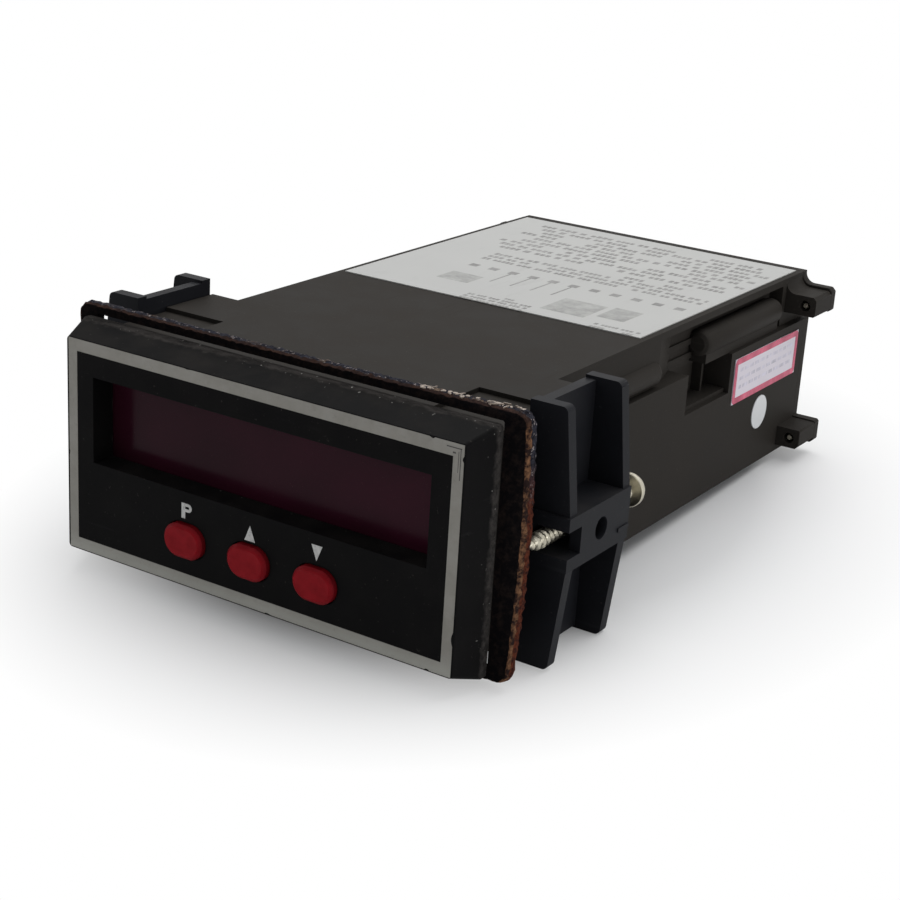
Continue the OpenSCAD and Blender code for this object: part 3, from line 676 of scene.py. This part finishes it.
def add_clip_screw(node, body):
    """A self-tapping pan head screw: coarse thread, long point and a cross recess."""
    lo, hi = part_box(node)
    x, z = (lo.x + hi.x) / 2 / MM, (lo.z + hi.z) / 2 / MM
    tip, end = lo.y / MM, hi.y / MM
    seat = end - HEAD_H
    steps = int((seat - tip) / THREAD_STEP)
    verts, faces = [], []
    for i in range(steps + 1):
        s = (seat - tip) * i / steps
        full = min(1.0, TIP_SHARE + (1 - TIP_SHARE) * s / SCREW_TIP)
        for k in range(TURN):
            a = 2 * math.pi * k / TURN
            phase = (s / THREAD_PITCH + k / TURN) % 1.0
            ridge = max(0.0, 1 - abs(phase - 0.5) / RIDGE)
            r = (CREST_R - THREAD_DEPTH + THREAD_DEPTH * ridge) * full
            verts.append(((x + r * math.cos(a)) * MM, (tip + s) * MM, (z + r * math.sin(a)) * MM))
    radius = HEAD_D / 2
    rim = [(0.0, 2.6), (0.0, radius - 0.15), (0.15, radius), (0.9, radius - 0.02), (SHOULDER, radius - 0.35)]
    rings = (2.8, 2.4, 2.1, 1.9, 1.7, 1.5, 1.25, 1.0, 0.8, 0.6, 0.45, 0.3, 0.15)
    dome = [(HEAD_H - (r / radius) ** 2 * DOME, r) for r in rings]
    half, reach, deep = CROSS
    for up, r in rim + dome:
        for k in range(TURN):
            a = 2 * math.pi * (k + 0.5) / TURN
            u, v = r * math.cos(a), r * math.sin(a)
            inside = up > SHOULDER and min(abs(u), abs(v)) < half and max(abs(u), abs(v)) < reach
            verts.append(((x + u) * MM, (seat + up - (deep if inside else 0.0)) * MM, (z + v) * MM))
    count = len(verts) // TURN
    for i in range(count - 1):
        for k in range(TURN):
            k2 = (k + 1) % TURN
            faces.append((i * TURN + k, i * TURN + k2, (i + 1) * TURN + k2, (i + 1) * TURN + k))
    faces.append(tuple(range(TURN)))
    faces.append(tuple(range((count - 1) * TURN, count * TURN)))
    o = add_mesh(node + "_thread", verts, faces, ZINC, body)
    fix_normals(o)
    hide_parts(node)


# ---------------------------------------------------------------- labels


FILL = 0.85


def add_top_print():
    """Faded generic print on the top label: rows of short bars, connector marks and plain blocks."""
    rng = random.Random(11)
    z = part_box("top_label")[1].z / MM
    strong, faint = [], []

    def bar(x0, x1, y0, y1, to):
        to.append(slab(rect(x0, x1, y0, y1), (0, 0, z), (1, 0, 0), (0, 1, 0), (0, 0, 1), THIN_INK))

    def line(x0, x1, y, size):
        x = x0
        while x < x1 - 0.6:
            w = min(rng.uniform(0.8, 3.6) * size, x1 - x)
            if rng.random() < FILL:
                count = max(1, int(w / (0.62 * size)))
                for i in range(count):
                    a = x + w * i / count
                    bar(a, a + w / count * 0.74, y, y + rng.uniform(0.75, 1.0) * size, strong)
            x += w + 0.5 * size

    for k in range(9):
        line(-29 + 2 * (k % 3), 36 - 3 * (k % 2), 141.7 - 3.3 * k, 2.0)
    for k in range(2):
        line(11, 26, 111.0 - 2.8 * k, 1.7)
    for k in range(3):
        line(-22, 35 if k else 9, 108.2 - 2.8 * k, 1.7)
    marks, first_mark, pitch = 11, -19.6, 5.26
    for i in range(marks):
        x = first_mark + pitch * i
        bar(x - 1.1, x + 1.1, 95.0, 97.2, strong)
        if 2 <= i <= 5:
            bar(x - 0.2, x + 0.2, 86.0, 95.0, strong)
    for block in ((-20, -12, 81, 88), (10.5, 21, 75, 86), (22.5, 29, 78, 87)):
        bar(*block, faint)
    for k in range(4):
        line(-7, 9, 75.4 - 1.9 * k, 1.2)
    for y in (72.2, 70.0):
        line(25, 36, y, 1.2)
    for name, slabs, colour in (("top_label_print", strong, (0.150, 0.147, 0.140)),
                                ("top_label_blocks", faint, (0.215, 0.215, 0.205))):
        verts, faces = join_slabs(slabs)
        add_mesh(name, verts, faces, print_ink(name, colour), "meter")


def add_side_print():
    """The coloured border and the faint lines on the side label."""
    rng = random.Random(3)
    lo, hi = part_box("side_label")
    x = hi.x / MM
    y0, y1, z0, z1 = lo.y / MM, hi.y / MM, lo.z / MM, hi.z / MM
    k, r = 1.4, 1.2
    red = [rect(y0 + r, y1 - r, z0, z0 + k), rect(y0 + r, y1 - r, z1 - k, z1),
           rect(y0, y0 + k, z0 + r, z1 - r), rect(y1 - k, y1, z0 + r, z1 - r)]
    red += [[(cy, cz)] + arc(cy, cz, r, a, a + 90, 6) for cy, cz, a in
            ((y1 - r, z1 - r, 0), (y0 + r, z1 - r, 90), (y0 + r, z0 + r, 180), (y1 - r, z0 + r, 270))]
    verts, faces = join_slabs([slab(o, (x, 0, 0), (0, 1, 0), (0, 0, 1), (1, 0, 0), INK) for o in red])
    red_ink = print_ink("red_ink", (0.36, 0.035, 0.085))
    add_mesh("side_label_border", verts, faces, red_ink, "meter")
    lines = []
    for z in (z1 - 3.4, z1 - 5.4, z1 - 7.4):
        y = y0 + 3
        while y < y1 - 4:
            w = rng.uniform(1, 3)
            lines.append(rect(y, min(y + w, y1 - 3), z, z + 0.8))
            y += w + 0.8
    verts, faces = join_slabs([slab(o, (x, 0, 0), (0, 1, 0), (0, 0, 1), (1, 0, 0), THIN_INK) for o in lines])
    faint_ink = print_ink("faint_ink", (0.38, 0.36, 0.42))
    add_mesh("side_label_print", verts, faces, faint_ink, "meter")


# ---------------------------------------------------------------- floor and world


def seen_as_backdrop(t):
    """1 for rays that show the backdrop: from the camera, in reflections and through glass."""
    path = t.node("LightPath")
    seen = t.math("MAXIMUM", path.outputs["Is Camera Ray"], path.outputs["Is Glossy Ray"])
    return t.math("MAXIMUM", seen, path.outputs["Is Transmission Ray"])


def add_floor():
    """A pale sloping floor: it takes the shadow near the meter and is plain white further out."""
    reach = 3.0
    low, high = (FLOOR_AT[1] + (y - FLOOR_AT[0]) * FLOOR_SLOPE for y in (-reach, reach))
    mesh = bpy.data.meshes.new("floor")
    corners = [(-reach, -reach, low), (reach, -reach, low), (reach, reach, high), (-reach, reach, high)]
    mesh.from_pydata(corners, [], [(0, 1, 2, 3)])
    t = Tree("floor")
    tone = t.mix(t.noise(300, 2.0), (0.84, 0.84, 0.84), (0.88, 0.88, 0.88))
    diffuse = t.node("BsdfDiffuse", {"Color": tone})
    white = t.node("Emission", {"Color": (1.0, 1.0, 1.0), "Strength": 1.0})
    x, y, _ = t.axes()
    across = t.math("DIVIDE", x, SHADOW_REACH[0])
    along = t.math("DIVIDE", t.math("SUBTRACT", y, SHADOW_MIDDLE), SHADOW_REACH[1])
    far = t.math("SQRT", t.math("ADD", t.math("POWER", across, 2.0), t.math("POWER", along, 2.0)))
    fac = t.math("MULTIPLY", t.map(far, 0.50, 0.90), seen_as_backdrop(t))
    mix = t.node("MixShader", {0: fac, 1: diffuse.outputs[0], 2: white.outputs[0]})
    out = t.node("OutputMaterial")
    t.nt.links.new(mix.outputs[0], out.inputs[0])
    mesh.materials.append(t.mat)
    o = bpy.data.objects.new("floor", mesh)
    bpy.context.collection.objects.link(o)


def add_world():
    """Dim fill light, shown as plain white behind the meter."""
    t = Tree("world", bpy.data.worlds.new("world"))
    fill = t.node("Background", {"Color": (0.93, 0.96, 1.0), "Strength": 0.28})
    white = t.node("Background", {"Color": (1.0, 1.0, 1.0), "Strength": 1.0})
    mix = t.node("MixShader", {0: seen_as_backdrop(t), 1: fill.outputs[0], 2: white.outputs[0]})
    out = t.node("OutputWorld")
    t.nt.links.new(mix.outputs[0], out.inputs[0])
    bpy.context.scene.world = t.mat


# ---------------------------------------------------------------- the scene

CASE_PLASTIC = moulded("case_plastic", (0.0235, 0.0210, 0.0185), spec=0.03, rough=0.55)
CLIP_PLASTIC = moulded("clip_plastic", (0.0115, 0.0120, 0.0145), spec=0.05, rough=0.45, grain=0.25)
CHIP = moulded("chip_plastic", (0.02, 0.02, 0.02), scratches=0.0)
TERMINAL = moulded("terminal_plastic", (0.03, 0.16, 0.07), spec=0.4, rough=0.35, scratches=0.1)
RELAY = moulded("relay_case", (0.02, 0.06, 0.22), spec=0.4, rough=0.3, scratches=0.0)
DIGITS = moulded("digit_plastic", (0.04, 0.01, 0.015), spec=0.3, rough=0.3, dust=0.0, scratches=0.0)
ZINC = plated("zinc_steel", (0.52, 0.49, 0.40))
BOARD = circuit()
BUTTON = button_red()

LOOKS = {
    "bezel": bezel_plastic(),
    "window": red_window(),
    "button_p": BUTTON,
    "button_up": BUTTON,
    "button_down": BUTTON,
    "gasket": gasket_face(),
    "case": CASE_PLASTIC,
    "rear_cover": CASE_PLASTIC,
    "cover_screws": ZINC,
    "clip_left": CLIP_PLASTIC,
    "clip_right": CLIP_PLASTIC,
    "clip_screw_left": ZINC,
    "clip_screw_right": ZINC,
    "display_board": BOARD,
    "led_digits": DIGITS,
    "tact_switches": CHIP,
    "board_headers": CHIP,
    "upper_board": BOARD,
    "lower_board": BOARD,
    "processor": CHIP,
    "memory_chip": CHIP,
    "driver_chips": CHIP,
    "transformer_core": laminated(),
    "transformer_bobbin": taped(),
    "filter_capacitors": sleeve(),
    "regulator": CHIP,
    "heat_sink": brushed("sink_aluminium", (0.62, 0.63, 0.65)),
    "relay": RELAY,
    "terminal_block_upper": TERMINAL,
    "terminal_block_lower": TERMINAL,
    "terminal_screws": ZINC,
    "top_label": label_film("top_label_film", (0.43, 0.43, 0.415)),
    "side_label": label_film("side_label_film", (0.62, 0.58, 0.64), dirt=0.15),
    "round_sticker": label_film("sticker_film", (0.62, 0.63, 0.64), dirt=0.2),
}
EDGE_RADII = {"bezel": 0.18, "case": 0.22, "clip_left": 0.22, "clip_right": 0.22, "rear_cover": 0.2,
              "button_p": 0.2, "button_up": 0.2, "button_down": 0.2}

for node, material in LOOKS.items():
    NODES[node].data.materials.clear()
    NODES[node].data.materials.append(material)
for node, radius in EDGE_RADII.items():
    soften(node, radius)

add_border()
add_scratches()
add_legends()
add_gasket()
add_flakes()
add_clip_screw("clip_screw_left", "left_screw")
add_clip_screw("clip_screw_right", "right_screw")
add_top_print()
add_side_print()
add_floor()
add_world()
add_camera()
for name, (at, target, size, watts) in LAMPS.items():
    add_lamp(name, at, target, size, watts)
bpy.context.scene.view_settings.view_transform = "Standard"
